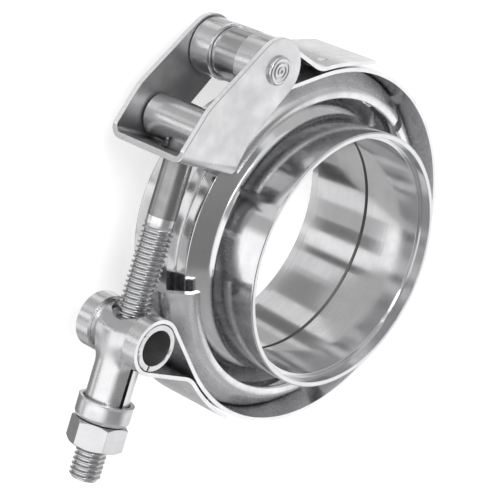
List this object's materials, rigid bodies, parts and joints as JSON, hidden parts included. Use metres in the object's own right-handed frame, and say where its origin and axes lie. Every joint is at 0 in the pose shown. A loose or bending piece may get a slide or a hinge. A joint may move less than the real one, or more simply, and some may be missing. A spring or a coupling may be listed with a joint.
{
  "type": "v band clamp",
  "caption": "V-band exhaust clamp on its pair of flanges: a looped strap with V retainers, closed by a T-bolt, trunnion sleeve and hinged latch.",
  "frame": {"origin": "centre of the rear flange's end face, on the flange axis", "axes": "+Z along the flange axis towards the front flange, +X along the T-bolt towards the nut, the latch on the -Y side"},
  "size_m": [0.1148, 0.1061, 0.041],
  "materials": {
    "flange_steel": "satin turned stainless",
    "band_steel": "satin rolled stainless strip",
    "retainer_steel": "satin rolled stainless strip",
    "turned_steel": "polished stainless tube",
    "bracket_steel": "satin stainless sheet",
    "rivet_steel": "turned stainless",
    "bolt_steel": "rolled stainless thread and shank",
    "sleeve_steel": "pressed stainless sheet",
    "collar_steel": "pressed stainless cup",
    "nut_steel": "bright stainless"
  },
  "bodies": {
    "clamp": {"rear_flange": "flange_steel", "front_flange": "flange_steel", "clamp_band": "band_steel", "v_retainer_lower": "retainer_steel", "v_retainer_right": "retainer_steel", "v_retainer_upper": "retainer_steel", "loop_bushing": "turned_steel"},
    "latch": {"latch_bracket": "bracket_steel", "latch_rivet": "rivet_steel"},
    "trunnion": {"trunnion_sleeve": "sleeve_steel", "nut_collar": "collar_steel"},
    "bolt": {"t_bolt": "bolt_steel", "t_bolt_barrel": "turned_steel"},
    "nut": {"hex_nut": "nut_steel"}
  },
  "joints": [
    {"name": "trunnion_swing", "type": "hinge", "parent": "clamp", "child": "trunnion", "pos_m": [0.028, -0.0472, 0.0205], "axis": [0, 0, 1], "range_deg": [0, 8.6]},
    {"name": "nut_turn", "type": "hinge", "parent": "trunnion", "child": "nut", "pos_m": [0.0535, -0.0472, 0.0205], "axis": [1, 0, 0], "range_deg": [0, 2390.4]},
    {"name": "bolt_slide", "type": "slide", "parent": "trunnion", "child": "bolt", "axis": [-1, 0, 0], "range_m": [0, 0.0083]},
    {"name": "latch_swing", "type": "hinge", "parent": "clamp", "child": "latch", "pos_m": [-0.0419, -0.0364, 0.0205], "axis": [0, 0, -1], "range_deg": [0, 20]}
  ],
  "couplings": [
    {"joint": "nut_turn", "follows": "bolt_slide", "rad_per_m": 5026.5},
    {"joint": "trunnion_swing", "follows": "bolt_slide", "rad_per_m": 18.084},
    {"joint": "latch_swing", "follows": "bolt_slide", "rad_per_m": 42.056}
  ]
}
